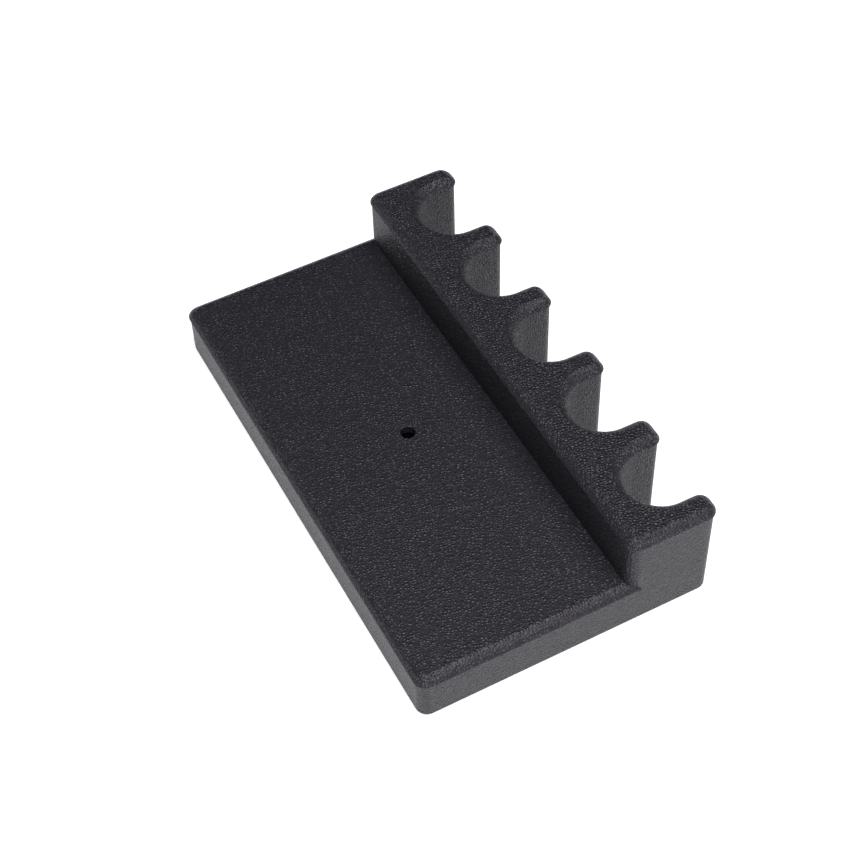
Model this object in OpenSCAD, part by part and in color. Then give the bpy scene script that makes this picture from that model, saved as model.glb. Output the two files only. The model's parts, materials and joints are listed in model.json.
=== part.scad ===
// Weighted table rest that holds a row of billiard cues upright in open notches.
// X runs along the row of notches, Y runs from the flat front edge to the finger tips,
// Z is up. The origin is under the middle of the footprint, on the table.

/* [Outline] */
// Length along the row of notches
rest_l = 180; // [176:1:200]
// Depth from the front edge to the finger tips
rest_w = 106; // [104:1:114]
// Height of the low platform
platform_h = 19.5; // [19:0.5:24]
// Height of the notched bar
bar_h = 41; // [39:0.5:48]
// Depth of the notched bar
bar_w = 32; // [31:0.5:34]
// Corner radius of the outline, seen from above
corner_r = 4.5; // [3.5:0.5:6]

/* [Notches] */
// Number of cue notches
notch_count = 5; // [3:2:5]
// Distance between neighbouring notch centres
notch_pitch = 34.2; // [33:0.1:35]
// Width of a notch, and the diameter of its round inner end
notch_w = 23; // [20:0.5:24]
// Depth of a notch from the finger tips
notch_d = 20.5; // [18:0.5:21]
// Corner radius of the finger tips, seen from above
tip_r = 3.5; // [3.2:0.1:4]

/* [Covers] */
// Thickness of both covers, from the seam to the top
cover_t = 3.2; // [3.1:0.1:3.6]
// Radius of the rolled top edge
roll_r = 3; // [2:0.5:3]
// How far the covers stand out past the walls below
lip = 0.5; // [0.2:0.1:0.8]

/* [Casing] */
// Thickness of the side walls
wall_t = 2.5; // [2:0.1:3]
// Thickness of the floor
floor_t = 2.5; // [2:0.1:3]
// Gap between the rim of the casing and the table
rim_gap = 0.5; // [0.3:0.1:0.8]

/* [Base pad] */
// Thickness of the non-slip pad
pad_t = 1.5; // [1.2:0.1:2]
// Thickness of the double-sided film that bonds the pad
film_t = 0.2; // [0.1:0.05:0.3]
// Distance from the outline to the edge of the pad
pad_inset = 3.5; // [3:0.1:5]

/* [Fixing hole] */
// Diameter of the hole for a fixing screw
hole_d = 5; // [4:0.5:6]
// Distance from the front edge to the hole
hole_y = 43; // [40:0.5:46]

/* [Ballast] */
// Length of a ballast plate
plate_l = 148; // [140:1:150]
// Width of a ballast plate
plate_w = 60; // [50:1:60]
// Thickness of one ballast plate
plate_t = 4; // [3:0.5:4]

/* [Hidden] */
$fn = 48;
eps = 0.01;

// Levels above the table
floor_z = pad_t + film_t;
inside_z = floor_z + floor_t;
platform_seam_z = platform_h - cover_t;
bar_seam_z = bar_h - cover_t;

// Plan positions
front_y = -rest_w / 2;
tips_y = rest_w / 2;
step_y = tips_y - bar_w;
notch_r = notch_w / 2;
notch_y = tips_y - notch_d + notch_r;
notch_xs = [for (i = [0:notch_count - 1]) (i - (notch_count - 1) / 2) * notch_pitch];
hole = [0, front_y + hole_y];
hole_r = hole_d / 2;

// Locating skirts under the covers
skirt_gap = 0.2;
skirt_t = 1.4;
skirt_h = 2.5;
skirt_inset = lip + wall_t + skirt_gap;
ledge_w = 3;
ledge_h = 3;

// Cover screws, driven from below through sockets in the casing floor
screw_r = 1.5;
screw_l = 10;
screw_head_r = 2.8;
screw_head_h = 2;
seat_t = 2.5;
socket_r = 4.4;
socket_bore_r = 3.1;
screw_gap = 0.2;
boss_r = 3.2;
low_seat_z = inside_z + 0.5;
high_seat_z = bar_seam_z - 13.5;
corner_in = 9;
finger_in = 20;
low_screws = [
    for (x = [-1, 1], y = [front_y + corner_in, step_y - corner_in])
        [x * (rest_l / 2 - corner_in), y]
];
high_screws = concat(
    [for (x = [-1, 1]) [x * (rest_l / 2 - corner_in + 1), step_y + corner_in - 2]],
    [for (i = [0:notch_count - 2]) [notch_xs[i] + notch_pitch / 2, tips_y - finger_in]]
);

// Ballast plates on four pillars, clamped by screws and washers
plate_y = (front_y + step_y) / 2;
pillar_r = 3.9;
pillar_gap = 0.3;
pillar_drop = 0.5;
pillar_in = 12;
plates_top_z = inside_z + 2 * plate_t;
clamp_r = 2;
clamp_l = 7;
clamp_head_r = 3.8;
clamp_head_h = 2.4;
washer_r = 6;
washer_t = 1;
pillars = [
    for (x = [-1, 1], y = [-1, 1])
        [x * (plate_l / 2 - pillar_in), plate_y + y * (plate_w / 2 - pillar_in + 4)]
];

// Spacer tube round the fixing hole
bush_r = 4.5;
bush_ring_r = 6;
bush_ring_h = 1.5;
bush_gap = 0.1;

// Rectangle from corner a to corner b with rounded corners
module rounded_rect(a, b, r) {
    translate([a.x + r, a.y]) square([b.x - a.x - 2 * r, b.y - a.y]);
    translate([a.x, a.y + r]) square([b.x - a.x, b.y - a.y - 2 * r]);
    for (x = [a.x + r, b.x - r], y = [a.y + r, b.y - r]) translate([x, y]) circle(r);
}

// The space of one notch, grown by inset all round, with rounded finger tips at its mouth
module notch(inset) {
    grown_r = notch_r + inset;
    tip_x = notch_r + tip_r;
    translate([0, notch_y]) circle(grown_r);
    translate([-grown_r, notch_y]) square([2 * grown_r, tips_y - notch_y + 1]);
    difference() {
        translate([-tip_x, tips_y - tip_r]) square([2 * tip_x, tip_r + 1]);
        if (tip_r > inset)
            for (x = [-tip_x, tip_x]) translate([x, tips_y - tip_r]) circle(tip_r - inset);
    }
}

// Outline from y0 to the finger tips, pulled in by inset on every side
module plan(y0, inset) {
    difference() {
        rounded_rect([-rest_l / 2 + inset, y0 + inset], [rest_l / 2 - inset, tips_y - inset],
            max(corner_r - inset, 0.5));
        for (x = notch_xs) translate([x, 0]) notch(inset);
    }
}
module full_plan(inset) { plan(front_y, inset); }
module bar_plan(inset) { plan(step_y - lip, inset); }

// A band that follows the outline, from one inset to a larger one
module plan_band(y0, inset, t) {
    difference() {
        plan(y0, inset);
        plan(y0, inset + t);
    }
}

// Section of the rolled rim: x runs outwards from the flat top to the edge, y runs up
module roll_section() {
    side_h = cover_t - roll_r;
    square([roll_r, side_h]);
    translate([0, side_h]) intersection() {
        circle(roll_r);
        square(roll_r);
    }
}

// Rolled rim along a straight edge from a to b, with the outside on the left
module rolled_side(a, b) {
    run = b - a;
    translate([a.x, a.y, 0]) rotate(atan2(run.y, run.x)) rotate([90, 0, 90])
        linear_extrude(norm(run)) roll_section();
}

// Rolled rim round a quarter-circle corner, centred on c and starting at the given angle
module rolled_corner(c, r, start) {
    translate([c.x, c.y, 0]) rotate(start) rotate_extrude(angle = 90)
        translate([r - roll_r, 0]) roll_section();
}

// Rolled rim round the inner end of a notch, and up both of its sides to the finger tips
module rolled_notch() {
    inner_x = notch_r + roll_r;
    translate([0, notch_y, 0]) rotate(180) rotate_extrude(angle = 180)
        translate([inner_x, 0]) mirror([1, 0]) roll_section();
    for (m = [0, 1]) mirror([m, 0, 0]) {
        rolled_side([-inner_x, tips_y - tip_r], [-inner_x, notch_y]);
        rolled_corner([-notch_r - tip_r, tips_y - tip_r], tip_r, 0);
    }
}

// Flat cover plate with a rolled rim on its front, its ends and its notches
module bar_plate() {
    y0 = step_y - lip;
    end_x = rest_l / 2;
    linear_extrude(cover_t) bar_plan(roll_r);
    rolled_side([end_x - corner_r, y0 + roll_r], [corner_r - end_x, y0 + roll_r]);
    for (m = [0, 1]) mirror([m, 0, 0]) {
        rolled_corner([end_x - corner_r, y0 + corner_r], corner_r, -90);
        rolled_side([end_x - roll_r, tips_y - corner_r], [end_x - roll_r, y0 + corner_r]);
        rolled_corner([end_x - corner_r, tips_y - corner_r], corner_r, 0);
    }
    for (x = notch_xs) translate([x, 0, 0]) rolled_notch();
    for (x = [each notch_xs, -notch_xs[0] + notch_pitch]) {
        from_x = max(x - notch_pitch + notch_r + tip_r, corner_r - end_x);
        to_x = min(x - notch_r - tip_r, end_x - corner_r);
        rolled_side([from_x, tips_y - roll_r], [to_x, tips_y - roll_r]);
    }
}

// Flat cover plate with a rolled rim on its front and its ends, cut to the foot of the step
module platform_plate() {
    end_x = rest_l / 2;
    rear_y = step_y + corner_r;
    difference() {
        union() {
            linear_extrude(cover_t) intersection() {
                rounded_rect([roll_r - end_x, front_y + roll_r], [end_x - roll_r, tips_y],
                    corner_r - roll_r);
                translate([-end_x, front_y]) square([rest_l, rear_y - front_y]);
            }
            rolled_side([end_x - corner_r, front_y + roll_r],
                [corner_r - end_x, front_y + roll_r]);
            for (m = [0, 1]) mirror([m, 0, 0]) {
                rolled_corner([end_x - corner_r, front_y + corner_r], corner_r, -90);
                rolled_side([end_x - roll_r, rear_y], [end_x - roll_r, front_y + corner_r]);
            }
        }
        translate([0, 0, -eps]) linear_extrude(cover_t + 1) bar_plan(lip);
    }
}

// Hollow boss that takes a cover screw, hanging from the seam plane down to its seat
module cover_boss(seat_z, seam_z) {
    base_z = seat_z + seat_t;
    translate([0, 0, base_z]) difference() {
        cylinder(seam_z - base_z, r = boss_r);
        translate([0, 0, -eps]) cylinder(screw_l - seat_t + 1, r = screw_r);
    }
}

module platform_cover() {
    color([0.11, 0.11, 0.12]) {
        difference() {
            translate([0, 0, platform_seam_z]) platform_plate();
            translate([hole.x, hole.y, 0]) cylinder(bar_h, r = hole_r);
        }
        translate([0, 0, platform_seam_z - skirt_h]) linear_extrude(skirt_h) intersection() {
            plan_band(front_y, skirt_inset, skirt_t);
            translate([-rest_l / 2, front_y]) square([rest_l, rest_w - bar_w - 2 * ledge_w]);
        }
        for (p = low_screws) translate([p.x, p.y, 0]) cover_boss(low_seat_z, platform_seam_z);
    }
}

module bar_cover() {
    color([0.12, 0.12, 0.13]) {
        translate([0, 0, bar_seam_z]) bar_plate();
        translate([0, 0, bar_seam_z - skirt_h]) linear_extrude(skirt_h)
            plan_band(step_y - lip, skirt_inset, skirt_t);
        for (p = high_screws) translate([p.x, p.y, 0]) cover_boss(high_seat_z, bar_seam_z);
    }
}

// Open tub: floor, outer walls, notch walls and the step wall between the two covers
module casing_shell() {
    difference() {
        union() {
            translate([0, 0, rim_gap]) linear_extrude(platform_seam_z - rim_gap) full_plan(lip);
            translate([0, 0, platform_seam_z]) linear_extrude(bar_seam_z - platform_seam_z)
                bar_plan(lip);
        }
        translate([0, 0, inside_z]) linear_extrude(platform_seam_z - inside_z)
            full_plan(lip + wall_t);
        translate([0, 0, inside_z]) linear_extrude(bar_h) bar_plan(lip + wall_t);
        linear_extrude(floor_z) full_plan(pad_inset - skirt_gap);
    }
}

module lower_casing() {
    ledge_l = rest_l - 2 * lip - wall_t;
    color([0.17, 0.17, 0.18]) difference() {
        union() {
            casing_shell();
            translate([-ledge_l / 2, step_y - ledge_w, platform_seam_z - ledge_h])
                cube([ledge_l, ledge_w + wall_t, ledge_h]);
            for (p = low_screws) translate([p.x, p.y, floor_z])
                cylinder(low_seat_z + seat_t - floor_z, r = socket_r);
            for (p = high_screws) translate([p.x, p.y, floor_z])
                cylinder(high_seat_z + seat_t - floor_z, r = socket_r);
            for (p = pillars) translate([p.x, p.y, floor_z])
                cylinder(plates_top_z - pillar_drop - floor_z, r = pillar_r);
            translate([hole.x, hole.y, floor_z]) cylinder(floor_t + bush_ring_h, r = bush_ring_r);
        }
        for (p = low_screws) translate([p.x, p.y, 0]) {
            cylinder(low_seat_z, r = socket_bore_r);
            cylinder(bar_h, r = screw_r + screw_gap);
        }
        for (p = high_screws) translate([p.x, p.y, 0]) {
            cylinder(high_seat_z, r = socket_bore_r);
            cylinder(bar_h, r = screw_r + screw_gap);
        }
        for (p = pillars) translate([p.x, p.y, inside_z + pillar_drop]) cylinder(bar_h, r = clamp_r);
        translate([hole.x, hole.y, 0]) cylinder(bar_h, r = hole_r);
        translate([hole.x, hole.y, inside_z]) cylinder(bar_h, r = bush_r + bush_gap);
    }
}

module centre_bush() {
    color("silver") translate([hole.x, hole.y, inside_z]) difference() {
        cylinder(platform_seam_z - inside_z, r = bush_r);
        translate([0, 0, -eps]) cylinder(bar_h, r = hole_r);
    }
}

// One ballast plate, holed for the four pillars and the spacer tube
module ballast_plate(z) {
    plate_corner_r = 2;
    color([0.35, 0.36, 0.38]) translate([0, 0, z]) difference() {
        linear_extrude(plate_t) rounded_rect([-plate_l / 2, plate_y - plate_w / 2],
            [plate_l / 2, plate_y + plate_w / 2], plate_corner_r);
        for (p = pillars) translate([p.x, p.y, -eps]) cylinder(bar_h, r = pillar_r + pillar_gap);
        translate([hole.x, hole.y, -eps]) cylinder(bar_h, r = bush_ring_r + pillar_gap);
    }
}

module ballast_washers() {
    color("gainsboro") for (p = pillars) translate([p.x, p.y, plates_top_z]) difference() {
        cylinder(washer_t, r = washer_r);
        translate([0, 0, -eps]) cylinder(bar_h, r = clamp_r + screw_gap / 2);
    }
}

// Pan-head screw with a cross recess, head seated at z = 0 and shank pointing down
module pan_screw(r, l, head_r, head_h) {
    tip_l = r;
    slot_w = r / 2;
    difference() {
        cylinder(head_h, r = head_r);
        for (a = [0, 90]) rotate(a)
            translate([-r, -slot_w / 2, head_h / 2]) cube([2 * r, slot_w, head_h]);
    }
    translate([0, 0, tip_l - l]) cylinder(l - tip_l, r = r);
    translate([0, 0, -l]) cylinder(tip_l, r1 = r / 3, r2 = r);
}

module ballast_screws() {
    color("silver") for (p = pillars) translate([p.x, p.y, plates_top_z + washer_t])
        pan_screw(clamp_r, clamp_l, clamp_head_r, clamp_head_h);
}

module cover_screws() {
    color("silver") {
        for (p = low_screws) translate([p.x, p.y, low_seat_z]) rotate([180, 0, 0])
            pan_screw(screw_r, screw_l, screw_head_r, screw_head_h);
        for (p = high_screws) translate([p.x, p.y, high_seat_z]) rotate([180, 0, 0])
            pan_screw(screw_r, screw_l, screw_head_r, screw_head_h);
    }
}

// Flat sheet under the casing, holed for the fixing screw
module base_sheet(z, t, inset) {
    translate([0, 0, z]) difference() {
        linear_extrude(t) full_plan(inset);
        translate([hole.x, hole.y, -eps]) cylinder(bar_h, r = hole_r);
    }
}
module base_pad() {
    color([0.06, 0.06, 0.06]) base_sheet(0, pad_t, pad_inset);
}
module pad_adhesive() {
    color("ivory") base_sheet(pad_t, film_t, pad_inset + 1);
}

platform_cover();
bar_cover();
lower_casing();
centre_bush();
ballast_plate(inside_z);  // ballast_plate_lower
ballast_plate(inside_z + plate_t);  // ballast_plate_upper
ballast_washers();
ballast_screws();
cover_screws();
base_pad();
pad_adhesive();
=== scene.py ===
"""Weighted table rest for billiard cues: its visual model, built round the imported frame.

X runs along the row of notches, Y from the flat front edge to the finger tips, Z is up.
Sizes in the classes are millimetres, and everything handed to Blender is metres.
"""

import json
import logging
import math
from collections.abc import Callable, Iterator, Sequence
from contextlib import contextmanager
from dataclasses import dataclass, field
from enum import Enum

import bmesh
import bpy
from mathutils import Matrix, Vector

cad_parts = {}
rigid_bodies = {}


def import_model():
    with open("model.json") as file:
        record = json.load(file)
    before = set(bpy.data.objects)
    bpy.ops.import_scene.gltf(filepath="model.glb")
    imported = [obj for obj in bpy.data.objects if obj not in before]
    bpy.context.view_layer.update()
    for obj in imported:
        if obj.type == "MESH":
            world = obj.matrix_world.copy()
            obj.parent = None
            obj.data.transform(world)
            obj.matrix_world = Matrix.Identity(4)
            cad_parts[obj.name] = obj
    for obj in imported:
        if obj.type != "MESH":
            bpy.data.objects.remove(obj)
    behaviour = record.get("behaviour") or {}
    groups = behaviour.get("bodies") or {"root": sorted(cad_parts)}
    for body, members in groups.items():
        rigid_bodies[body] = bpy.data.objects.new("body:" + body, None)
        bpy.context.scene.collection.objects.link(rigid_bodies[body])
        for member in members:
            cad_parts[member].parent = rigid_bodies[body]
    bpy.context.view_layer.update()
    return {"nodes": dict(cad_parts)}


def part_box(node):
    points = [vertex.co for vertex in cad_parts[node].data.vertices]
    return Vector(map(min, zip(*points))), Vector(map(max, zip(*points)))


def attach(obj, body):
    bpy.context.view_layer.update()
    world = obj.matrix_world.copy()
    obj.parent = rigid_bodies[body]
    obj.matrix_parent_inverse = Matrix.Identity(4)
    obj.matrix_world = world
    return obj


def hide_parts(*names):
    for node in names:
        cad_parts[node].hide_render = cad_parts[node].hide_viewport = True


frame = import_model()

log = logging.getLogger("cue_rest")

MM = 0.001
ROOT_BODY = "root"
NEAR = 0.02 * MM
GRAIN_ATTRIBUTE = "grain"


# ---------------------------------------------------------------------------
# Workbench: the hand tools that every sub-assembly is made with
# ---------------------------------------------------------------------------


class Cut(Enum):
    """How one solid changes another."""

    AWAY = "DIFFERENCE"
    ADD = "UNION"


@dataclass(frozen=True)
class Span:
    """A stretch along one axis, in millimetres."""

    low: float
    high: float

    @property
    def middle(self) -> float:
        """Centre of the stretch."""
        return (self.low + self.high) / 2

    @property
    def length(self) -> float:
        """Length of the stretch."""
        return self.high - self.low


def deselect_all() -> None:
    """Clear the object selection, because operators act on all that is selected."""
    for item in bpy.context.view_layer.objects:
        item.select_set(False)


def activate(piece: bpy.types.Object) -> None:
    """Select one object alone and make it the active one."""
    deselect_all()
    piece.select_set(True)
    bpy.context.view_layer.objects.active = piece


@contextmanager
def edit_mode(piece: bpy.types.Object) -> Iterator[None]:
    """Open a piece in edit mode with nothing selected, and leave edit mode afterwards.

    Args:
        piece: the mesh object to edit.
    """
    activate(piece)
    bpy.ops.object.mode_set(mode="EDIT")
    bpy.ops.mesh.select_all(action="DESELECT")
    try:
        yield
    finally:
        bpy.ops.object.mode_set(mode="OBJECT")


def pick_edges(piece: bpy.types.Object, test: Callable[[bmesh.types.BMEdge], bool]) -> int:
    """Select the edges of a piece in edit mode that pass a test.

    Args:
        piece: the piece being edited.
        test: says whether an edge is wanted.

    Returns:
        How many edges were selected.
    """
    bpy.ops.mesh.select_mode(type="EDGE")
    bpy.ops.mesh.select_all(action="DESELECT")
    mesh = bmesh.from_edit_mesh(piece.data)
    wanted = [edge for edge in mesh.edges if test(edge)]
    for edge in wanted:
        edge.select_set(True)
    bmesh.update_edit_mesh(piece.data)
    return len(wanted)


def pick_faces(piece: bpy.types.Object, test: Callable[[bmesh.types.BMFace], bool]) -> int:
    """Select the faces of a piece in edit mode that pass a test.

    Args:
        piece: the piece being edited.
        test: says whether a face is wanted.

    Returns:
        How many faces were selected.
    """
    bpy.ops.mesh.select_mode(type="FACE")
    bpy.ops.mesh.select_all(action="DESELECT")
    mesh = bmesh.from_edit_mesh(piece.data)
    wanted = [face for face in mesh.faces if test(face)]
    for face in wanted:
        face.select_set(True)
    bmesh.update_edit_mesh(piece.data)
    return len(wanted)


def add_block(name: str, x: Span, y: Span, z: Span) -> bpy.types.Object:
    """Add a block that fills three spans, with its place in its mesh.

    Args:
        name: name of the new object.
        x: span along the row of notches.
        y: span from front to finger tips.
        z: span upwards.

    Returns:
        The new object.
    """
    deselect_all()
    bpy.ops.mesh.primitive_cube_add(
        size=1,
        location=(x.middle * MM, y.middle * MM, z.middle * MM),
        scale=(x.length * MM, y.length * MM, z.length * MM),
    )
    block = bpy.context.active_object
    bpy.ops.object.transform_apply(location=True, rotation=True, scale=True)
    block.name = name
    return block


def add_rod(name: str, x: float, y: float, z: Span, radius: float, sides: int = 48) -> bpy.types.Object:
    """Add an upright rod, with its place in its mesh.

    Args:
        name: name of the new object.
        x: axis position along the row of notches.
        y: axis position from front to finger tips.
        z: span upwards.
        radius: radius of the rod.
        sides: number of sides of the round.

    Returns:
        The new object.
    """
    deselect_all()
    bpy.ops.mesh.primitive_cylinder_add(
        vertices=sides,
        radius=radius * MM,
        depth=z.length * MM,
        location=(x * MM, y * MM, z.middle * MM),
    )
    rod = bpy.context.active_object
    bpy.ops.object.transform_apply(location=True, rotation=True, scale=True)
    rod.name = name
    return rod


def join(pieces: Sequence[bpy.types.Object]) -> bpy.types.Object:
    """Join several objects into the first one."""
    deselect_all()
    for piece in pieces:
        piece.select_set(True)
    bpy.context.view_layer.objects.active = pieces[0]
    if len(pieces) > 1:
        bpy.ops.object.join()
    return pieces[0]


def copy_along_x(piece: bpy.types.Object, places: Sequence[float]) -> bpy.types.Object:
    """Repeat a piece modelled at x = 0 at each place along X, as one object.

    Args:
        piece: the piece at x = 0, which is used up.
        places: where the copies go, in millimetres.

    Returns:
        One object that holds all the copies.
    """
    copies = []
    for place in places:
        twin = piece.copy()
        twin.data = piece.data.copy()
        twin.data.transform(Matrix.Translation((place * MM, 0, 0)))
        bpy.context.scene.collection.objects.link(twin)
        copies.append(twin)
    bpy.data.objects.remove(piece)
    return join(copies)


def carve(piece: bpy.types.Object, tool: bpy.types.Object, how: Cut) -> None:
    """Change a piece by a tool solid, and use the tool up.

    Args:
        piece: the solid that is changed.
        tool: the solid that is cut away or added.
        how: which of the two.
    """
    modifier = piece.modifiers.new("carve", "BOOLEAN")
    modifier.operation = how.value
    modifier.solver = "EXACT"
    modifier.object = tool
    activate(piece)
    bpy.ops.object.modifier_apply(modifier=modifier.name)
    bpy.data.objects.remove(tool)


def is_upright(edge: bmesh.types.BMEdge) -> bool:
    """Whether an edge runs straight up."""
    a, b = (vert.co for vert in edge.verts)
    return (a.xy - b.xy).length < NEAR and abs(a.z - b.z) > NEAR


def round_uprights(
    piece: bpy.types.Object, corners: Sequence[tuple[float, float]], radius: float, segments: int = 8
) -> None:
    """Round the upright edges that stand at given corners of the plan.

    Args:
        piece: the solid to round.
        corners: x and y of the corners.
        radius: radius of the rounding.
        segments: number of facets in a quarter circle.
    """
    spots = [Vector((x * MM, y * MM)) for x, y in corners]

    def stands_at_corner(edge: bmesh.types.BMEdge) -> bool:
        """Whether this is an upright edge at one of the corners."""
        return is_upright(edge) and any((edge.verts[0].co.xy - s).length < 5 * NEAR for s in spots)

    with edit_mode(piece):
        if pick_edges(piece, stands_at_corner):
            bevel_selected(radius, segments)


def bevel_selected(radius: float, segments: int) -> None:
    """Round the selected edges by a radius in millimetres."""
    bpy.ops.mesh.bevel(
        offset_type="OFFSET",
        offset=radius * MM,
        segments=segments,
        profile=0.5,
        affect="EDGES",
        clamp_overlap=False,
    )


def tidy(piece: bpy.types.Object, smooth_angle: float = 32.0) -> None:
    """Merge doubles, turn every face outwards and shade soft curves smooth.

    Args:
        piece: the finished solid.
        smooth_angle: faces that meet at less than this angle, in degrees, shade as one.
    """
    with edit_mode(piece):
        bpy.ops.mesh.select_all(action="SELECT")
        bpy.ops.mesh.remove_doubles(threshold=0.2 * NEAR)
        bpy.ops.mesh.normals_make_consistent(inside=False)
    activate(piece)
    bpy.ops.object.shade_smooth_by_angle(angle=math.radians(smooth_angle))
    weighted = piece.modifiers.new("weighted", "WEIGHTED_NORMAL")
    weighted.keep_sharp = True
    bpy.ops.object.modifier_apply(modifier=weighted.name)


# ---------------------------------------------------------------------------
# Finishes
# ---------------------------------------------------------------------------


def srgb(code: str) -> tuple[float, float, float, float]:
    """Turn an sRGB hex colour into the linear colour that shaders take.

    Args:
        code: colour such as "#1c1b1f".

    Returns:
        Linear red, green, blue and an alpha of 1.
    """
    channels = [int(code[i : i + 2], 16) / 255 for i in (1, 3, 5)]
    linear = [c / 12.92 if c <= 0.04045 else ((c + 0.055) / 1.055) ** 2.4 for c in channels]
    return (linear[0], linear[1], linear[2], 1.0)


def per_metre(pattern_mm: float) -> float:
    """Texture scale at which one cell of a pattern measures pattern_mm."""
    return 1 / (pattern_mm * MM)


def add_node(
    tree: bpy.types.NodeTree,
    kind: str,
    settings: dict[str, object] | None = None,
    inputs: dict[str | int, object] | None = None,
) -> bpy.types.Node:
    """Add one shader node with its settings, its constants and its links.

    Args:
        tree: the node tree that it joins.
        kind: Blender's name of the node type.
        settings: values of the node's own properties.
        inputs: for each input, a constant, or the output socket that feeds it.

    Returns:
        The new node.
    """
    node = tree.nodes.new(kind)
    for name, value in (settings or {}).items():
        setattr(node, name, value)
    for name, value in (inputs or {}).items():
        if isinstance(value, bpy.types.NodeSocket):
            tree.links.new(value, node.inputs[name])
        else:
            node.inputs[name].default_value = value
    return node


def new_material(name: str) -> tuple[bpy.types.Material, bpy.types.NodeTree, bpy.types.Node]:
    """Start a material that holds only its surface shader.

    Args:
        name: name of the material.

    Returns:
        The material, its node tree and its principled shader.
    """
    material = bpy.data.materials.new(name)
    material.use_nodes = True
    tree = material.node_tree
    return material, tree, tree.nodes["Principled BSDF"]


@dataclass(frozen=True)
class GrainedAbs:
    """Black ABS moulded in a chemically etched tool with a leather grain.

    The grain is a net of creases round small pebbles. It makes the flats look satin and finely
    mottled. The creases are also given a darker colour as painted shade. The grain attribute of a piece says
    how strong it is there.
    """

    colour: str = "#211f28"
    # Painted shade: the darker colour laid into the grain's creases.
    crease_shade_colour: str = "#141318"
    ior: float = 1.5
    pebble_roughness: float = 0.38
    crease_roughness: float = 0.5
    least_grain: float = 0.15
    pebble_mm: float = 1.0
    crease_mm: float = 0.5
    wander_mm: float = 0.3
    wander_pattern_mm: float = 1.6
    fine_mm: float = 0.4
    fine_share: float = 0.15
    grain_depth_mm: float = 0.5

    def build(self, name: str) -> bpy.types.Material:
        """Make the material.

        Args:
            name: name of the material.

        Returns:
            The material, to put on a piece that carries the grain attribute.
        """
        material, tree, shader = new_material(name)
        height = self.grain_height(tree)
        mask = add_node(tree, "ShaderNodeAttribute", {"attribute_name": GRAIN_ATTRIBUTE})
        strength = add_node(
            tree,
            "ShaderNodeMapRange",
            inputs={"Value": mask.outputs["Fac"], "To Min": self.least_grain, "To Max": 1.0},
        )
        bump = add_node(
            tree,
            "ShaderNodeBump",
            inputs={
                "Height": height,
                "Strength": strength.outputs[0],
                "Distance": self.grain_depth_mm * MM,
            },
        )
        # Painted shade: the creases get a darker colour than the pebbles, standing in for the shade that
        # falls in them.
        tint = add_node(
            tree,
            "ShaderNodeMix",
            {"data_type": "RGBA"},
            {"Factor": height, "A": srgb(self.crease_shade_colour), "B": srgb(self.colour)},
        )
        sheen = add_node(
            tree,
            "ShaderNodeMapRange",
            inputs={"Value": height, "To Min": self.crease_roughness, "To Max": self.pebble_roughness},
        )
        tree.links.new(tint.outputs["Result"], shader.inputs["Base Color"])
        tree.links.new(sheen.outputs[0], shader.inputs["Roughness"])
        tree.links.new(bump.outputs[0], shader.inputs["Normal"])
        shader.inputs["IOR"].default_value = self.ior
        return material

    def grain_height(self, tree: bpy.types.NodeTree) -> bpy.types.NodeSocket:
        """Lay out the height of the grain: 1 on the pebbles and 0 in the creases.

        Args:
            tree: the material's node tree.

        Returns:
            The socket that gives the height.
        """
        place = add_node(tree, "ShaderNodeTexCoord").outputs["Object"]
        warp = add_node(
            tree,
            "ShaderNodeTexNoise",
            inputs={"Vector": place, "Scale": per_metre(self.wander_pattern_mm), "Detail": 1.0},
        )
        shift = add_node(
            tree,
            "ShaderNodeVectorMath",
            {"operation": "MULTIPLY_ADD"},
            {0: warp.outputs["Color"], 1: (2 * self.wander_mm * MM,) * 3, 2: place},
        )
        creases = add_node(
            tree,
            "ShaderNodeTexVoronoi",
            {"feature": "DISTANCE_TO_EDGE"},
            {"Vector": shift.outputs[0], "Scale": per_metre(self.pebble_mm), "Randomness": 0.8},
        )
        pebbles = add_node(
            tree,
            "ShaderNodeMapRange",
            {"interpolation_type": "SMOOTHSTEP"},
            {"Value": creases.outputs["Distance"], "From Max": self.crease_mm / self.pebble_mm},
        )
        fine = add_node(
            tree,
            "ShaderNodeTexNoise",
            inputs={"Vector": place, "Scale": per_metre(self.fine_mm), "Detail": 1.0},
        )
        both = add_node(
            tree,
            "ShaderNodeMath",
            {"operation": "MULTIPLY_ADD"},
            {0: fine.outputs["Fac"], 1: self.fine_share, 2: pebbles.outputs[0]},
        )
        return both.outputs[0]


@dataclass(frozen=True)
class MattRubber:
    """Calendered black rubber sheet, die-cut. It is dull, with a fine stipple that grips."""

    colour: str = "#171717"
    worn_colour: str = "#242423"
    ior: float = 1.52
    roughness: float = 0.8
    stipple_mm: float = 0.9
    stipple_depth_mm: float = 0.12

    def build(self, name: str) -> bpy.types.Material:
        """Make the material, named name."""
        material, tree, shader = new_material(name)
        place = add_node(tree, "ShaderNodeTexCoord").outputs["Object"]
        dust = add_node(
            tree, "ShaderNodeTexNoise", inputs={"Vector": place, "Scale": per_metre(14), "Detail": 4.0}
        )
        tint = add_node(
            tree,
            "ShaderNodeMix",
            {"data_type": "RGBA"},
            {"Factor": dust.outputs["Fac"], "A": srgb(self.colour), "B": srgb(self.worn_colour)},
        )
        dots = add_node(
            tree,
            "ShaderNodeTexVoronoi",
            inputs={"Vector": place, "Scale": per_metre(self.stipple_mm), "Randomness": 0.25},
        )
        bump = add_node(
            tree,
            "ShaderNodeBump",
            {"invert": True},
            {"Height": dots.outputs["Distance"], "Distance": self.stipple_depth_mm * MM},
        )
        tree.links.new(tint.outputs["Result"], shader.inputs["Base Color"])
        tree.links.new(bump.outputs[0], shader.inputs["Normal"])
        shader.inputs["Roughness"].default_value = self.roughness
        shader.inputs["IOR"].default_value = self.ior
        return material


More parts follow.
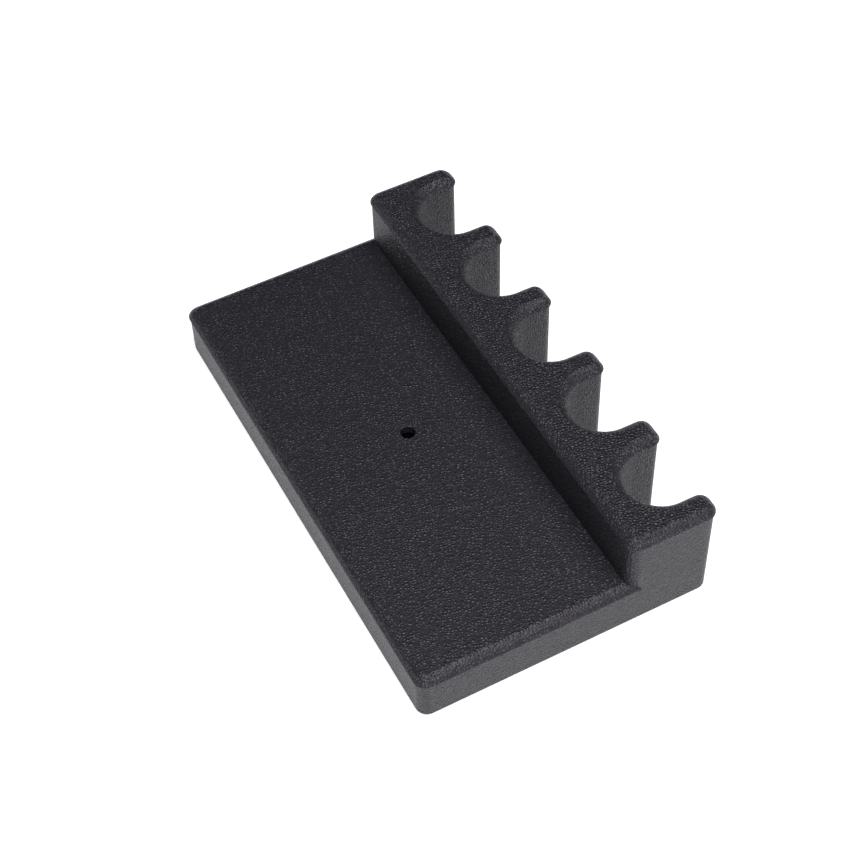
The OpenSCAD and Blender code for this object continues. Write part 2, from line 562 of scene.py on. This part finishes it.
@dataclass(frozen=True)
class ZincPlatedSteel:
    """Turned steel with bright zinc plate. The plate has a faint blue cast and fine lay lines."""

    colour: str = "#b9bec6"
    dull_colour: str = "#9aa0a8"
    roughness: float = 0.34
    lay_mm: float = 0.25
    lay_depth_mm: float = 0.01

    def build(self, name: str) -> bpy.types.Material:
        """Make the material, named name."""
        material, tree, shader = new_material(name)
        place = add_node(tree, "ShaderNodeTexCoord").outputs["Object"]
        cloud = add_node(
            tree, "ShaderNodeTexNoise", inputs={"Vector": place, "Scale": per_metre(4), "Detail": 3.0}
        )
        tint = add_node(
            tree,
            "ShaderNodeMix",
            {"data_type": "RGBA"},
            {"Factor": cloud.outputs["Fac"], "A": srgb(self.colour), "B": srgb(self.dull_colour)},
        )
        stretched = add_node(
            tree,
            "ShaderNodeMapping",
            inputs={"Vector": place, "Scale": (1.0, 1.0, 12.0)},
        )
        lay = add_node(
            tree,
            "ShaderNodeTexNoise",
            inputs={"Vector": stretched.outputs[0], "Scale": per_metre(self.lay_mm * 12), "Detail": 2.0},
        )
        bump = add_node(
            tree,
            "ShaderNodeBump",
            inputs={"Height": lay.outputs["Fac"], "Distance": self.lay_depth_mm * MM},
        )
        tree.links.new(tint.outputs["Result"], shader.inputs["Base Color"])
        tree.links.new(bump.outputs[0], shader.inputs["Normal"])
        shader.inputs["Metallic"].default_value = 1.0
        shader.inputs["Roughness"].default_value = self.roughness
        return material


@dataclass(frozen=True)
class BlackOxideSteelAndHoleShade(ZincPlatedSteel):
    """Turned steel blackened in a hot oxide bath. Its near-black colour is partly painted shade, so the
    narrow hole reads dark all the way down.
    """

    # Near-black colour: oxide finish, and also painted shade for the inside of the fixing hole.
    colour: str = "#1d1e21"
    dull_colour: str = "#131417"
    roughness: float = 0.5


@dataclass(frozen=True)
class HotRolledSteel:
    """Hot-rolled flat bar, sheared and oiled. Blue-grey mill scale with browner patches."""

    colour: str = "#4a4d52"
    rust_colour: str = "#574a40"
    roughness: float = 0.55
    patch_mm: float = 9.0
    scale_mm: float = 0.8
    scale_depth_mm: float = 0.05

    def build(self, name: str) -> bpy.types.Material:
        """Make the material, named name."""
        material, tree, shader = new_material(name)
        place = add_node(tree, "ShaderNodeTexCoord").outputs["Object"]
        patches = add_node(
            tree,
            "ShaderNodeTexNoise",
            inputs={"Vector": place, "Scale": per_metre(self.patch_mm), "Detail": 6.0},
        )
        amount = add_node(
            tree,
            "ShaderNodeMapRange",
            inputs={"Value": patches.outputs["Fac"], "From Min": 0.5, "From Max": 0.75},
        )
        tint = add_node(
            tree,
            "ShaderNodeMix",
            {"data_type": "RGBA"},
            {"Factor": amount.outputs[0], "A": srgb(self.colour), "B": srgb(self.rust_colour)},
        )
        flakes = add_node(
            tree, "ShaderNodeTexNoise", inputs={"Vector": place, "Scale": per_metre(self.scale_mm)}
        )
        bump = add_node(
            tree,
            "ShaderNodeBump",
            inputs={"Height": flakes.outputs["Fac"], "Distance": self.scale_depth_mm * MM},
        )
        tree.links.new(tint.outputs["Result"], shader.inputs["Base Color"])
        tree.links.new(bump.outputs[0], shader.inputs["Normal"])
        shader.inputs["Metallic"].default_value = 1.0
        shader.inputs["Roughness"].default_value = self.roughness
        return material


@dataclass(frozen=True)
class AcrylicFilm:
    """Double-sided acrylic adhesive film. It is waxy, off-white and slightly cloudy."""

    colour: str = "#e6dfc8"
    cloudy_colour: str = "#d8d0b6"
    ior: float = 1.47
    roughness: float = 0.45

    def build(self, name: str) -> bpy.types.Material:
        """Make the material, named name."""
        material, tree, shader = new_material(name)
        place = add_node(tree, "ShaderNodeTexCoord").outputs["Object"]
        cloud = add_node(
            tree, "ShaderNodeTexNoise", inputs={"Vector": place, "Scale": per_metre(6), "Detail": 3.0}
        )
        tint = add_node(
            tree,
            "ShaderNodeMix",
            {"data_type": "RGBA"},
            {"Factor": cloud.outputs["Fac"], "A": srgb(self.colour), "B": srgb(self.cloudy_colour)},
        )
        tree.links.new(tint.outputs["Result"], shader.inputs["Base Color"])
        shader.inputs["Roughness"].default_value = self.roughness
        shader.inputs["IOR"].default_value = self.ior
        return material


@dataclass(frozen=True)
class WhitePaper:
    """Matt white paper on a light table, which keeps the shadows round the object faint."""

    colour: str = "#f6f6f6"
    roughness: float = 0.9
    glow: float = 0.42

    def build(self, name: str) -> bpy.types.Material:
        """Make the material, named name."""
        material, _, shader = new_material(name)
        shader.inputs["Base Color"].default_value = srgb(self.colour)
        shader.inputs["Roughness"].default_value = self.roughness
        shader.inputs["Emission Color"].default_value = srgb(self.colour)
        shader.inputs["Emission Strength"].default_value = self.glow
        return material


# ---------------------------------------------------------------------------
# Plan: the outline that the covers, the casing and the pad share
# ---------------------------------------------------------------------------


@dataclass(frozen=True)
class Plan:
    """Outline seen from above, with its five round-ended notches, in millimetres."""

    half_length: float
    front_y: float
    tips_y: float
    step_y: float
    corner_r: float = 4.5
    notch_count: int = 5
    notch_pitch: float = 34.2
    notch_r: float = 11.5
    notch_depth: float = 20.5
    tip_r: float = 3.5
    lip: float = 0.5

    @classmethod
    def from_frame(cls) -> "Plan":
        """Read the outline's overall sizes from the CAD nodes."""
        front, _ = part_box("platform_cover")
        bar_low, bar_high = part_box("bar_cover")
        return cls(
            half_length=bar_high.x / MM,
            front_y=front.y / MM,
            tips_y=bar_high.y / MM,
            step_y=bar_low.y / MM + cls.lip,
        )

    @property
    def notch_xs(self) -> list[float]:
        """X of every notch centre."""
        middle = (self.notch_count - 1) / 2
        return [(i - middle) * self.notch_pitch for i in range(self.notch_count)]

    @property
    def notch_y(self) -> float:
        """Y of the centre of a notch's round end."""
        return self.tips_y - self.notch_depth + self.notch_r

    def notch_cutters(self, inset: float, z: Span) -> bpy.types.Object:
        """Make the solids that cut the notches out of a prism pulled in by inset.

        Args:
            inset: how far the prism stands inside the outline.
            z: height of the prism.

        Returns:
            One object with a cutter for every notch.
        """
        radius = self.notch_r + inset
        cutter = add_block(
            "notch_cutter",
            Span(-radius, radius),
            Span(self.notch_y - radius, self.tips_y + 5),
            Span(z.low - 2, z.high + 2),
        )
        inner = self.notch_y - radius
        round_uprights(cutter, [(-radius, inner), (radius, inner)], radius - 0.001, 24)
        with edit_mode(cutter):
            bpy.ops.mesh.select_all(action="SELECT")
            bpy.ops.mesh.remove_doubles(threshold=0.01 * MM)
        return copy_along_x(cutter, self.notch_xs)

    def prism(self, name: str, y0: float, inset: float, z: Span) -> bpy.types.Object:
        """Make an upright solid on the outline from y0 back to the finger tips.

        Args:
            name: name of the new object.
            y0: where the outline starts at the front.
            inset: how far the solid stands inside the outline on every side.
            z: height of the solid.

        Returns:
            The new solid.
        """
        x1, y1 = self.half_length - inset, self.tips_y - inset
        solid = add_block(name, Span(-x1, x1), Span(y0 + inset, y1), z)
        corners = [(x, y) for x in (-x1, x1) for y in (y0 + inset, y1)]
        round_uprights(solid, corners, max(self.corner_r - inset, 0.5))
        carve(solid, self.notch_cutters(inset, z), Cut.AWAY)
        if self.tip_r > inset:
            half = self.notch_r + inset
            mouths = [(x + side * half, y1) for x in self.notch_xs for side in (-1, 1)]
            round_uprights(solid, mouths, self.tip_r - inset)
        return solid


def set_grain(piece: bpy.types.Object, grained: Callable[[Vector], float]) -> None:
    """Store how strongly the leather grain shows at each point of a piece.

    Args:
        piece: the finished solid.
        grained: takes a point in millimetres and gives 1 for full grain and 0 for the faintest.
    """
    values = [min(max(grained(vert.co / MM), 0.0), 1.0) for vert in piece.data.vertices]
    layer = piece.data.attributes.new(GRAIN_ATTRIBUTE, "FLOAT", "POINT")
    layer.data.foreach_set("value", values)


def hand_over(piece: bpy.types.Object, material: bpy.types.Material, slot: str, *nodes: str) -> None:
    """Dress a finished piece and let it stand for its CAD nodes.

    Args:
        piece: the finished solid.
        material: its finish.
        slot: the record's material slot of that finish; not used.
        nodes: the CAD nodes that it replaces.
    """
    piece.data.materials.clear()
    piece.data.materials.append(material)
    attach(piece, ROOT_BODY)
    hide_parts(*nodes)
    log.info("%s: %d faces, replaces %s", piece.name, len(piece.data.polygons), ", ".join(nodes))


# ---------------------------------------------------------------------------
# Sub-assemblies
# ---------------------------------------------------------------------------


@dataclass
class ScrewPosts:
    """Where the screws that hold the covers stand, and the sizes round them, in millimetres."""

    plan: Plan
    corner_in: float = 9.0
    finger_in: float = 20.0
    seat_t: float = 2.5
    screw_r: float = 1.5
    screw_l: float = 10.0
    screw_gap: float = 0.2
    boss_r: float = 3.2
    socket_r: float = 4.4
    bore_r: float = 3.1
    low_seat_z: float = 4.7
    high_seat_z: float = 24.3

    def low(self) -> list[tuple[float, float]]:
        """Posts under the platform cover."""
        x = self.plan.half_length - self.corner_in
        ys = (self.plan.front_y + self.corner_in, self.plan.step_y - self.corner_in)
        return [(side * x, y) for side in (-1, 1) for y in ys]

    def high(self) -> list[tuple[float, float]]:
        """Posts under the bar cover: one at each end and one behind each inner finger."""
        x = self.plan.half_length - self.corner_in + 1
        ends = [(side * x, self.plan.step_y + self.corner_in - 2) for side in (-1, 1)]
        y = self.plan.tips_y - self.finger_in
        fingers = [(notch + self.plan.notch_pitch / 2, y) for notch in self.plan.notch_xs[:-1]]
        return ends + fingers

    def add_bosses(
        self, cover: bpy.types.Object, spots: list[tuple[float, float]], seat_z: float, top_z: float
    ) -> None:
        """Hang hollow screw bosses under a cover.

        Args:
            cover: the cover solid.
            spots: x and y of each boss.
            seat_z: height of the screw's seat below.
            top_z: a height inside the cover plate.
        """
        foot = seat_z + self.seat_t
        bosses = [add_rod("boss", x, y, Span(foot, top_z), self.boss_r, 32) for x, y in spots]
        carve(cover, join(bosses), Cut.ADD)
        depth = Span(foot - 1, seat_z + self.screw_l + 1)
        pilots = [add_rod("pilot", x, y, depth, self.screw_r, 32) for x, y in spots]
        carve(cover, join(pilots), Cut.AWAY)


@dataclass
class Covers:
    """The two grained covers with rolled rims, in millimetres."""

    plan: Plan
    posts: ScrewPosts
    finish: bpy.types.Material
    cover_t: float = 3.2
    roll_w: float = 3.4
    roll_drop: float = 2.85
    roll_steepest: float = 60.0
    roll_rings: int = 10
    seam_break: float = 0.12
    hole_chamfer: float = 0.25
    bar_grain: float = 0.5
    platform_grain: float = 0.33
    wall_t: float = 2.5
    skirt_gap: float = 0.2
    skirt_t: float = 1.4
    skirt_h: float = 2.5
    ledge_w: float = 3.0
    hole_r: float = 2.5

    @property
    def skirt_inset(self) -> float:
        """How far the locating skirts stand inside the outline."""
        return self.plan.lip + self.wall_t + self.skirt_gap

    def roll_steps(self) -> list[tuple[float, float]]:
        """Divide the rim's arc into rings, from the lip up to the flat top.

        The arc is steepest at the lip, where it ends in a crisp edge, and meets the top at a
        slight angle.

        Returns:
            How far each ring goes in and up, in millimetres.
        """
        steepest = math.radians(self.roll_steepest)
        flattest = 2 * math.atan2(self.roll_drop, self.roll_w) - steepest
        radius = self.roll_w / (math.sin(steepest) - math.sin(flattest))
        step = (flattest - steepest) / self.roll_rings
        turns = [steepest + step * i for i in range(self.roll_rings + 1)]
        return [
            (radius * (math.sin(a) - math.sin(b)), radius * (math.cos(b) - math.cos(a)))
            for a, b in zip(turns, turns[1:])
        ]

    def roll_rim(self, piece: bpy.types.Object, edge_z: float) -> None:
        """Raise the flat top of a plate ring by ring into a rolled rim.

        Args:
            piece: the plate, whose top is at edge_z.
            edge_z: height at which the rim starts.
        """

        def is_top(face: bmesh.types.BMFace) -> bool:
            """Whether this face is the flat top of the plate."""
            return face.normal.z > 0.999 and abs(face.calc_center_median().z - edge_z * MM) < NEAR

        with edit_mode(piece):
            pick_faces(piece, is_top)
            for inwards, upwards in self.roll_steps():
                bpy.ops.mesh.inset(thickness=inwards * MM, depth=upwards * MM, use_even_offset=True)

    def soften_seam(self, piece: bpy.types.Object, seam_z: float) -> None:
        """Take the sharp edge off the underside of the overhanging lip."""

        def is_lip(edge: bmesh.types.BMEdge) -> bool:
            """Whether this edge runs round the bottom of the rim."""
            level = all(abs(vert.co.z - seam_z * MM) < NEAR for vert in edge.verts)
            outer = [abs(face.normal.z) < 0.5 for face in edge.link_faces]
            return level and outer.count(True) == 1

        with edit_mode(piece):
            pick_edges(piece, is_lip)
            bevel_selected(self.seam_break, 1)

    def build_bar(self) -> bpy.types.Object:
        """Model the bar cover: plate, rolled rim, locating skirt and screw bosses."""
        plan = self.plan
        _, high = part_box("bar_cover")
        top_z = high.z / MM
        seam_z = top_z - self.cover_t
        front = plan.step_y - plan.lip
        edge_z = top_z - self.roll_drop
        cover = plan.prism("bar_cover_shell", front, 0.0, Span(seam_z, edge_z))
        self.roll_rim(cover, edge_z)
        self.soften_seam(cover, seam_z)
        skirt = plan.prism("skirt", front, self.skirt_inset, Span(seam_z - self.skirt_h, seam_z + 1))
        core = plan.prism(
            "core", front, self.skirt_inset + self.skirt_t, Span(seam_z - self.skirt_h - 1, seam_z + 2)
        )
        carve(skirt, core, Cut.AWAY)
        carve(cover, skirt, Cut.ADD)
        self.posts.add_bosses(cover, self.posts.high(), self.posts.high_seat_z, seam_z + 1)
        return self.dress(cover, "bar_cover", seam_z, self.bar_grain)

    def build_platform(self) -> bpy.types.Object:
        """Model the platform cover: plate, rolled rim, hole, locating skirt and screw bosses."""
        plan = self.plan
        _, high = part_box("platform_cover")
        top_z = high.z / MM
        seam_z = top_z - self.cover_t
        edge_z = top_z - self.roll_drop
        rear = plan.step_y + plan.corner_r
        x1 = plan.half_length
        plate_y = Span(plan.front_y, rear + 2 * self.roll_w)
        cover = add_block("platform_cover_shell", Span(-x1, x1), plate_y, Span(seam_z, edge_z))
        round_uprights(cover, [(-x1, plan.front_y), (x1, plan.front_y)], plan.corner_r)
        self.roll_rim(cover, edge_z)
        past = Span(rear, plate_y.high + 1)
        through = Span(seam_z - 1, top_z + 1)
        carve(cover, add_block("past", Span(-x1 - 1, x1 + 1), past, through), Cut.AWAY)
        carve(cover, plan.prism("bar", plan.step_y - plan.lip, plan.lip, through), Cut.AWAY)
        hole = hole_place()
        carve(cover, add_rod("hole", hole.x, hole.y, through, self.hole_r, 64), Cut.AWAY)
        self.chamfer_hole(cover, top_z)
        self.soften_seam(cover, seam_z)
        inset = self.skirt_inset
        x2 = x1 - inset
        y2 = Span(plan.front_y + inset, plan.step_y - 2 * self.ledge_w)
        skirt = add_block("skirt", Span(-x2, x2), y2, Span(seam_z - self.skirt_h, seam_z + 1))
        x3 = x2 - self.skirt_t
        core = add_block(
            "core",
            Span(-x3, x3),
            Span(y2.low + self.skirt_t, y2.high + 1),
            Span(seam_z - self.skirt_h - 1, seam_z + 2),
        )
        carve(skirt, core, Cut.AWAY)
        carve(cover, skirt, Cut.ADD)
        self.posts.add_bosses(cover, self.posts.low(), self.posts.low_seat_z, seam_z + 1)
        return self.dress(cover, "platform_cover", seam_z, self.platform_grain)

    def chamfer_hole(self, piece: bpy.types.Object, top_z: float) -> None:
        """Break the top edge of the fixing hole."""
        hole = hole_place()
        centre = Vector((hole.x * MM, hole.y * MM))

        def is_hole_edge(edge: bmesh.types.BMEdge) -> bool:
            """Whether this edge runs round the top of the hole."""
            return all(
                abs(vert.co.z - top_z * MM) < NEAR
                and abs((vert.co.xy - centre).length - self.hole_r * MM) < 2 * NEAR
                for vert in edge.verts
            )

        with edit_mode(piece):
            pick_edges(piece, is_hole_edge)
            bevel_selected(self.hole_chamfer, 1)

    def dress(self, cover: bpy.types.Object, node: str, seam_z: float, grain: float) -> bpy.types.Object:
        """Finish a cover and let it stand for its CAD node.

        Args:
            cover: the finished solid.
            node: the CAD node that it replaces.
            seam_z: height of the cover's underside.
            grain: strength of the grain on the cover, from 0 to 1.

        Returns:
            The cover.
        """
        tidy(cover)
        set_grain(cover, lambda p: 1.0 if p.z < seam_z - 0.01 else grain)
        hand_over(cover, self.finish, "grained_plastic", node)
        return cover


def hole_place() -> Vector:
    """Middle of the fixing hole, in millimetres, from the spacer tube round it."""
    low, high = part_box("centre_bush")
    return (low + high) / 2 / MM


@dataclass
class Casing:
    """The open tub under both covers, in millimetres."""

    plan: Plan
    posts: ScrewPosts
    finish: bpy.types.Material
    cover_t: float = 3.2
    wall_t: float = 2.5
    floor_t: float = 2.5
    foot_r: float = 0.5
    ledge_w: float = 3.0
    ledge_h: float = 3.0
    pad_inset: float = 3.3
    pillar_r: float = 3.9
    pillar_drop: float = 0.5
    clamp_r: float = 2.0
    bush_ring_r: float = 6.0
    bush_ring_h: float = 1.5
    bush_gap: float = 0.1
    hole_r: float = 2.5

    def build(self) -> bpy.types.Object:
        """Model the casing: walls, cavities, screw sockets, ballast pillars and pad recess."""
        plan = self.plan
        low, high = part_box("lower_casing")
        rim_z, bar_seam_z = low.z / MM, high.z / MM
        seam_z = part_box("platform_cover")[1].z / MM - self.cover_t
        inside_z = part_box("centre_bush")[0].z / MM
        floor_z = inside_z - self.floor_t
        bar_front = plan.step_y - plan.lip
        shell = plan.prism("lower_casing_shell", plan.front_y, plan.lip, Span(rim_z, seam_z))
        self.round_foot(shell, rim_z)
        tower = plan.prism("tower", bar_front, plan.lip, Span(seam_z, bar_seam_z))
        carve(shell, tower, Cut.ADD)
        self.hollow(shell, inside_z, seam_z, bar_seam_z)
        recess = plan.prism("recess", plan.front_y, self.pad_inset, Span(rim_z - 2, floor_z))
        carve(shell, recess, Cut.AWAY)
        self.add_posts(shell, inside_z, floor_z)
        tidy(shell)
        set_grain(shell, lambda point: (point.z - rim_z) / self.foot_r - 0.01)
        hand_over(shell, self.finish, "grained_plastic", "lower_casing")
        return shell

    def round_foot(self, shell: bpy.types.Object, rim_z: float) -> None:
        """Round the bottom edge of the outer wall."""

        def is_foot(edge: bmesh.types.BMEdge) -> bool:
            """Whether this edge runs round the bottom."""
            return all(abs(vert.co.z - rim_z * MM) < NEAR for vert in edge.verts)

        with edit_mode(shell):
            pick_edges(shell, is_foot)
            bevel_selected(self.foot_r, 3)

    def hollow(self, shell: bpy.types.Object, inside_z: float, seam_z: float, bar_seam_z: float) -> None:
        """Cut the platform cavity, the bar cavity and the passage under the step wall.

        Args:
            shell: the solid outer shape.
            inside_z: height of the floor inside.
            seam_z: top of the platform walls.
            bar_seam_z: top of the bar walls.
        """
        plan = self.plan
        inner = plan.lip + self.wall_t
        x1 = plan.half_length - inner
        ledge_y = plan.step_y - self.ledge_w
        front = plan.front_y + inner
        room = add_block("room", Span(-x1, x1), Span(front, ledge_y), Span(inside_z, seam_z + 1))
        round_uprights(room, [(-x1, front), (x1, front)], plan.corner_r - inner)
        carve(shell, room, Cut.AWAY)
        bar_room = plan.prism("bar_room", plan.step_y - plan.lip, inner, Span(inside_z, bar_seam_z + 1))
        carve(shell, bar_room, Cut.AWAY)
        passage = add_block(
            "passage",
            Span(0.05 - x1, x1 - 0.05),
            Span(ledge_y - 1, plan.step_y + self.wall_t + 1),
            Span(inside_z, seam_z - self.ledge_h),
        )
        carve(shell, passage, Cut.AWAY)

    def add_posts(self, shell: bpy.types.Object, inside_z: float, floor_z: float) -> None:
        """Stand the screw sockets, the ballast pillars and the ring of the spacer tube on the floor.

        Args:
            shell: the hollow casing.
            inside_z: height of the floor inside.
            floor_z: height of the floor's underside.
        """
        posts = self.posts
        hole = hole_place()
        plates_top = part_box("ballast_plate_upper")[1].z / MM
        pillars = [(screw.x, screw.y) for screw in pillar_places()]
        seats = [(p, posts.low_seat_z) for p in posts.low()] + [(p, posts.high_seat_z) for p in posts.high()]
        solids = [
            add_rod("socket", x, y, Span(floor_z + 0.5, z + posts.seat_t), posts.socket_r, 40)
            for (x, y), z in seats
        ]
        pillar_z = Span(floor_z + 0.5, plates_top - self.pillar_drop)
        solids += [add_rod("pillar", x, y, pillar_z, self.pillar_r, 40) for x, y in pillars]
        ring_z = Span(floor_z + 0.5, inside_z + self.bush_ring_h)
        solids.append(add_rod("ring", hole.x, hole.y, ring_z, self.bush_ring_r))
        carve(shell, join(solids), Cut.ADD)
        wide = [add_rod("bore", x, y, Span(floor_z - 1, z), posts.bore_r, 40) for (x, y), z in seats]
        pilot_z = Span(inside_z + self.pillar_drop, plates_top + 1)
        wide += [add_rod("pilot", x, y, pilot_z, self.clamp_r, 32) for x, y in pillars]
        bush_r = (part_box("centre_bush")[1].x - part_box("centre_bush")[0].x) / 2 / MM + self.bush_gap
        wide.append(add_rod("seat", hole.x, hole.y, Span(inside_z, inside_z + 5), bush_r))
        carve(shell, join(wide), Cut.AWAY)
        narrow_r = posts.screw_r + posts.screw_gap
        narrow = [
            add_rod("clearance", x, y, Span(z - 1, z + posts.seat_t + 1), narrow_r, 32)
            for (x, y), z in seats
        ]
        narrow.append(add_rod("hole", hole.x, hole.y, Span(floor_z - 1, inside_z + 1), self.hole_r))
        carve(shell, join(narrow), Cut.AWAY)


def pillar_places() -> list[Vector]:
    """Axes of the four ballast pillars, in millimetres, from the corners of the washers."""
    low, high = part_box("ballast_washers")
    radius = 6.0
    xs = (low.x / MM + radius, high.x / MM - radius)
    ys = (low.y / MM + radius, high.y / MM - radius)
    return [Vector((x, y)) for x in xs for y in ys]


@dataclass
class BasePad:
    """The die-cut non-slip pad, in millimetres."""

    plan: Plan
    finish: bpy.types.Material
    inset: float = 3.5
    hole_r: float = 2.5
    edge_r: float = 0.25

    def build(self) -> bpy.types.Object:
        """Model the pad with its hole and its eased edges."""
        low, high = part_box("base_pad")
        z = Span(low.z / MM, high.z / MM)
        pad = self.plan.prism("base_pad_sheet", self.plan.front_y, self.inset, z)
        with edit_mode(pad):
            pick_edges(pad, lambda edge: not is_upright(edge) and self.is_sharp(edge))
            bevel_selected(self.edge_r, 2)
        hole = hole_place()
        carve(pad, add_rod("hole", hole.x, hole.y, Span(z.low - 1, z.high + 1), self.hole_r), Cut.AWAY)
        tidy(pad)
        hand_over(pad, self.finish, "pad_rubber", "base_pad")
        return pad

    @staticmethod
    def is_sharp(edge: bmesh.types.BMEdge) -> bool:
        """Whether an edge joins a flat face to the cut side."""
        return len(edge.link_faces) == 2 and edge.calc_face_angle() > math.radians(60)


@dataclass
class Hardware:
    """The CAD nodes whose shape is right as it is, each with the finish it gets."""

    finishes: dict[str, bpy.types.Material] = field(default_factory=dict)

    def dress(self) -> None:
        """Put each finish on its node."""
        for node, material in self.finishes.items():
            piece = frame["nodes"][node]
            piece.data.materials.clear()
            piece.data.materials.append(material)
            log.info("%s: CAD shape kept, finish %s", node, material.name)


# ---------------------------------------------------------------------------
# Studio
# ---------------------------------------------------------------------------


@dataclass(frozen=True)
class Softbox:
    """One rectangular soft light, placed round the object."""

    name: str
    azimuth: float
    elevation: float
    distance: float
    width: float
    height: float
    watts: float
    colour: str = "#fcf9ff"

    def build(self, target: Vector) -> None:
        """Hang the light at its place and aim it at the target."""
        light = bpy.data.lights.new(self.name, "AREA")
        light.shape = "RECTANGLE"
        light.size = self.width
        light.size_y = self.height
        light.energy = self.watts
        light.color = srgb(self.colour)[:3]
        lamp = bpy.data.objects.new(self.name, light)
        bpy.context.scene.collection.objects.link(lamp)
        back = direction(self.azimuth, self.elevation)
        lamp.location = target + back * self.distance
        lamp.rotation_euler = back.to_track_quat("Z", "Y").to_euler()


def direction(azimuth: float, elevation: float) -> Vector:
    """Unit vector from the object towards a viewer at these angles, in degrees.

    Args:
        azimuth: 0 looks along +Y, and it grows towards +X.
        elevation: angle above the horizon.

    Returns:
        The unit vector.
    """
    a, e = math.radians(azimuth), math.radians(elevation)
    return Vector((math.sin(a) * math.cos(e), -math.cos(a) * math.cos(e), math.sin(e)))


@dataclass(frozen=True)
class Studio:
    """Floor, lights and camera."""

    paper: bpy.types.Material
    room_colour: str = "#8f8f90"
    room_strength: float = 0.02
    floor_side: float = 6.0
    target: tuple[float, float, float] = (-3.32, -1.92, 15.0)
    azimuth: float = 63.890
    elevation: float = 50.284
    roll: float = -2.232
    distance: float = 631.91
    lens: float = 79.099
    sensor: float = 36.0
    lights: tuple[Softbox, ...] = (
        Softbox("key", 80.0, 70.0, 2.5, 2.6, 2.2, 112.0),
    )

    def build(self) -> None:
        """Set up the whole studio."""
        self.build_floor()
        self.build_room()
        aim = Vector((0, 0, 0))
        for light in self.lights:
            light.build(aim)
        self.build_camera()
        view = bpy.context.scene.view_settings
        view.view_transform = "Standard"
        view.look = "None"

    def build_floor(self) -> None:
        """Lay the paper under the object."""
        deselect_all()
        bpy.ops.mesh.primitive_plane_add(size=self.floor_side, location=(0, 0, 0))
        floor = bpy.context.active_object
        floor.name = "paper_floor"
        floor.data.materials.append(self.paper)

    def build_room(self) -> None:
        """Light the room evenly and dimly."""
        world = bpy.data.worlds.new("room")
        bpy.context.scene.world = world
        world.use_nodes = True
        backdrop = world.node_tree.nodes["Background"]
        backdrop.inputs["Color"].default_value = srgb(self.room_colour)
        backdrop.inputs["Strength"].default_value = self.room_strength

    def build_camera(self) -> None:
        """Place the camera at its angle, rolled slightly about its own axis."""
        back = direction(self.azimuth, self.elevation)
        level = Vector((0, 0, 1)).cross(back).normalized()
        upright = back.cross(level)
        roll = math.radians(self.roll)
        right = level * math.cos(roll) + upright * math.sin(roll)
        top = back.cross(right)
        lens = bpy.data.cameras.new("camera")
        lens.lens = self.lens
        lens.sensor_width = self.sensor
        lens.clip_start = 0.01
        lens.clip_end = 50.0
        camera = bpy.data.objects.new("camera", lens)
        bpy.context.scene.collection.objects.link(camera)
        turn = Matrix((right, top, back)).transposed().to_4x4()
        spot = Vector(self.target) * MM + back * self.distance * MM
        camera.matrix_world = Matrix.Translation(spot) @ turn
        bpy.context.scene.camera = camera


def main() -> None:
    """Build the studio, then each sub-assembly in order."""
    logging.basicConfig(level=logging.INFO, format="%(name)s: %(message)s")
    Studio(paper=WhitePaper().build("white_paper")).build()
    plan = Plan.from_frame()
    posts = ScrewPosts(plan)
    grained = GrainedAbs().build("grained_abs")
    covers = Covers(plan, posts, grained)
    covers.build_platform()
    covers.build_bar()
    Casing(plan, posts, grained).build()
    BasePad(plan, MattRubber().build("matt_rubber")).build()
    zinc = ZincPlatedSteel().build("zinc_plated_steel")
    rolled = HotRolledSteel().build("hot_rolled_steel")
    Hardware(
        {
            # The bush's near-black finish also paints the shade inside the fixing hole.
            "centre_bush": BlackOxideSteelAndHoleShade().build("black_oxide_steel_and_hole_shade"),
            "ballast_washers": zinc,
            "ballast_screws": zinc,
            "cover_screws": zinc,
            "ballast_plate_lower": rolled,
            "ballast_plate_upper": rolled,
            "pad_adhesive": AcrylicFilm().build("acrylic_film"),
        }
    ).dress()


if __name__ == "__main__":
    main()
